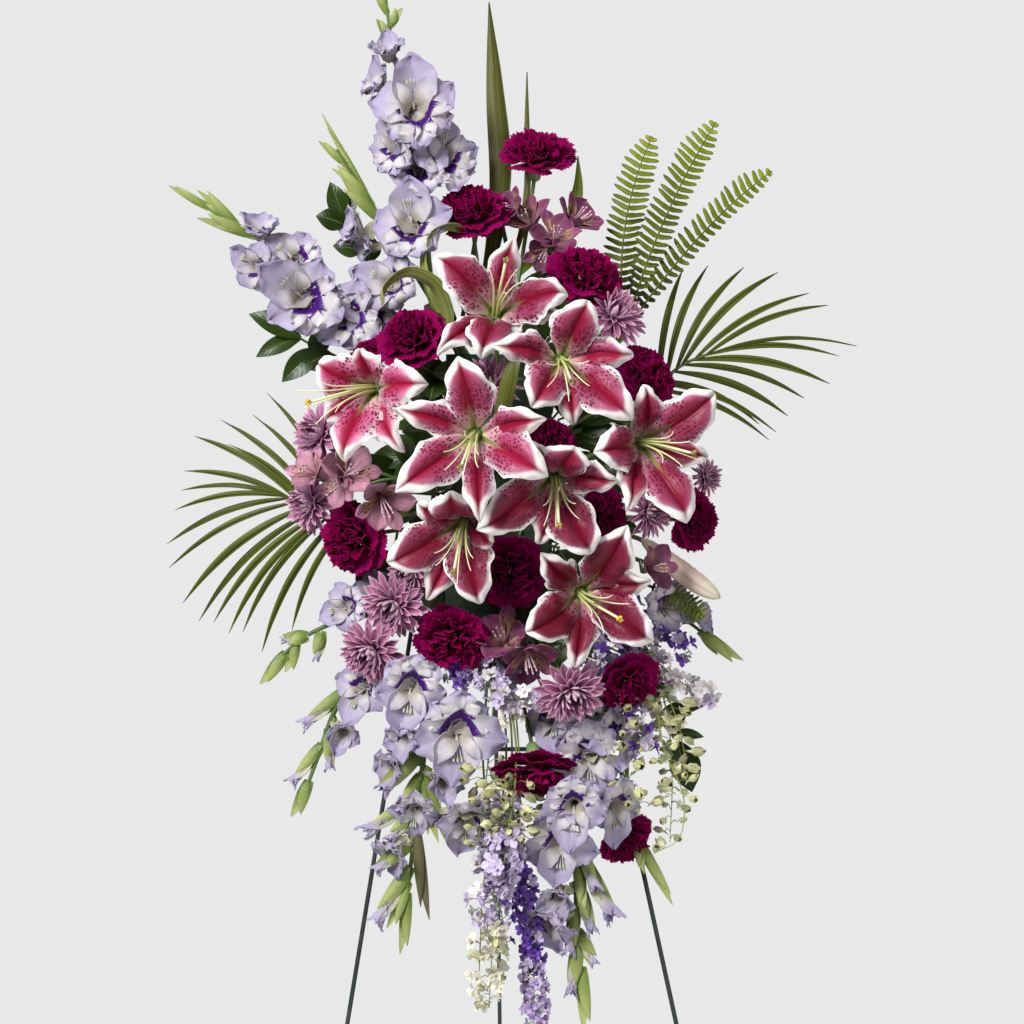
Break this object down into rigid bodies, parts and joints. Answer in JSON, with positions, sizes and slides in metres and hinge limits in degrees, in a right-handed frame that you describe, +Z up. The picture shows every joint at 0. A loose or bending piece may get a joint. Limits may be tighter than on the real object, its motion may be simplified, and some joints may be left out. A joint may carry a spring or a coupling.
{
  "type": "standing funeral spray",
  "caption": "Tall spray of lilies, carnations, mums, gladioli, larkspur and palm on a folding wire tripod easel.",
  "frame": {"origin": "on the floor, under the middle of the part", "axes": "+Z up, -Y to the front, where the blooms look; +X to the viewer's right"},
  "size_m": [0.7412, 0.8607, 1.7107],
  "materials": {
    "wire": "satin",
    "plastic": "satin",
    "foam": "matte",
    "lily": "matte",
    "carnation": "matte",
    "mum": "matte",
    "gladiolus": "matte",
    "alstroemeria": "matte",
    "larkspur": "matte",
    "larkspur_pale": "matte",
    "leaf": "matte",
    "fern": "matte"
  },
  "bodies": {
    "stand": {"easel_leg_left": "wire", "easel_leg_right": "wire", "easel_hinge_bar": "wire", "easel_bar_high": "wire", "easel_bar_mid": "wire", "easel_bar_low": "wire", "foam_holder": "plastic", "foam_block": "foam", "lily_top": "lily", "lily_upper_right": "lily", "lily_left": "lily", "lily_middle": "lily", "lily_centre_low": "lily", "lily_right": "lily", "lily_low_left": "lily", "lily_low_right": "lily", "lily_bud": "lily", "carnation_top": "carnation", "carnation_top_left": "carnation", "carnation_top_right": "carnation", "carnation_right": "carnation", "carnation_far_left": "carnation", "carnation_far_right": "carnation", "carnation_middle": "carnation", "carnation_low": "carnation", "carnation_low_right": "carnation", "carnation_hanging": "carnation", "carnation_hanging_right": "carnation", "carnation_behind": "carnation", "carnation_behind_low": "carnation", "carnation_left_pair": "carnation", "mum_upper_right": "mum", "mum_middle": "mum", "mum_left": "mum", "mum_low_left": "mum", "mum_low": "mum", "mum_right": "mum", "gladiolus_top": "gladiolus", "gladiolus_left": "gladiolus", "gladiolus_bud_spike": "gladiolus", "gladioli_low_left": "gladiolus", "gladiolus_low": "gladiolus", "gladiolus_low_right": "gladiolus", "alstroemeria_top": "alstroemeria", "alstroemeria_left": "alstroemeria", "alstroemeria_low": "alstroemeria", "alstroemeria_right": "alstroemeria", "larkspur_purple": "larkspur", "larkspur_right": "larkspur", "larkspur_pale": "larkspur_pale", "palm_right": "leaf", "palm_left": "leaf", "sword_leaves": "leaf", "looped_leaves": "leaf", "leaves_left": "leaf", "leaves_low_right": "leaf", "leaves_back": "leaf", "fern_fronds": "fern", "fern_small": "fern"},
    "back_leg": {"easel_leg_back": "wire"}
  },
  "joints": [
    {"name": "back_leg_fold", "type": "hinge", "parent": "stand", "child": "back_leg", "pos_m": [-0.02455, -0.06567, 1.44321], "axis": [-1, 0, 0], "range_deg": [0, 26]}
  ]
}
